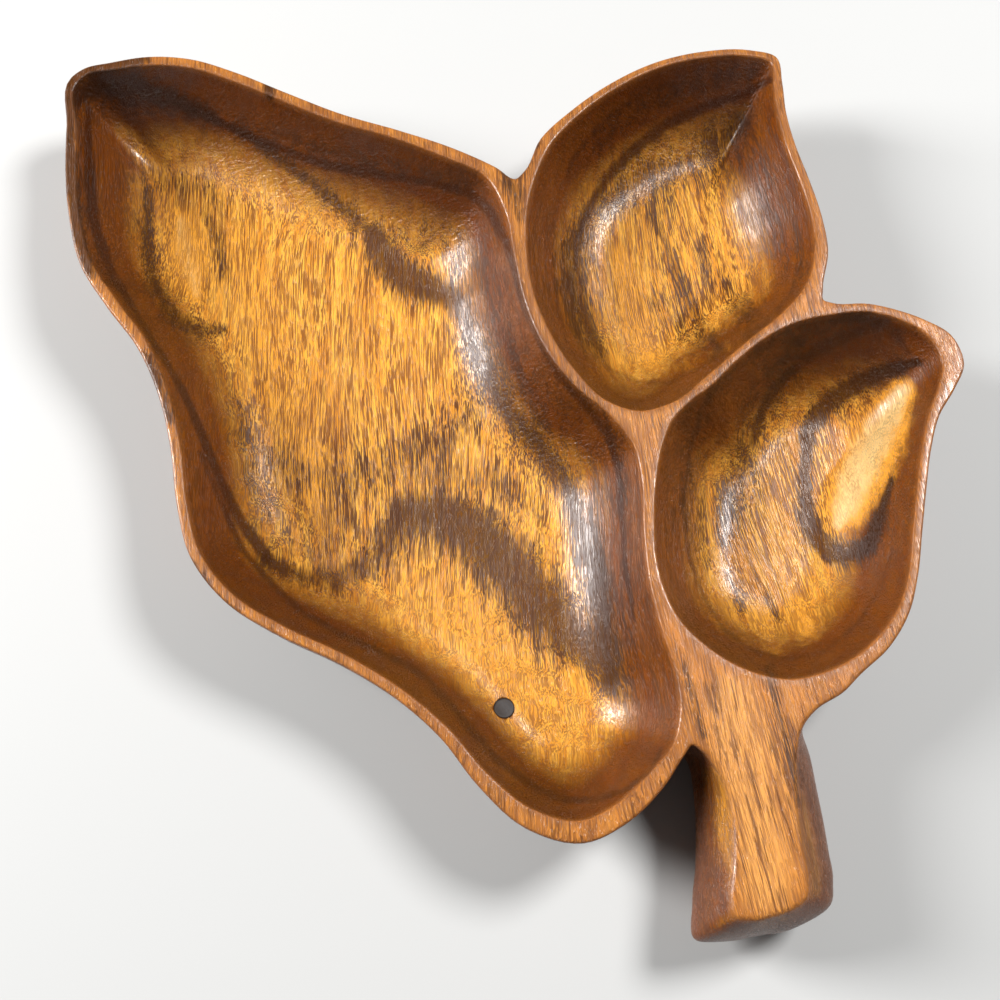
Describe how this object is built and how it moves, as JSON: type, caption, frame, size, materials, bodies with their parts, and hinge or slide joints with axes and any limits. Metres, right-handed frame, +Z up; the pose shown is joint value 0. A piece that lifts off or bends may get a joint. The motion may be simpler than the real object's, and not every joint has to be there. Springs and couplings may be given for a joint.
{
  "type": "divided serving bowl",
  "caption": "Carved wooden serving bowl shaped as leaves on a stem: a large hollow and small ones for separate foods, with the stem as handle and a round knot plug.",
  "frame": {"origin": "middle of the tray's bounding box, on the plane that its foot rests on", "axes": "+Z up out of the hollows; -Y towards the end of the stem; -X towards the large leaf; +X towards the two small leaves"},
  "size_m": [0.3801, 0.375, 0.045],
  "materials": {
    "oiled_wood": "glossy oiled hardwood with dark pores and heartwood figure",
    "knot_wood": "glossy dark grey-brown end grain"
  },
  "bodies": {
    "root": {"carved_tray": "oiled_wood", "knot_plug": "knot_wood"}
  },
  "joints": []
}
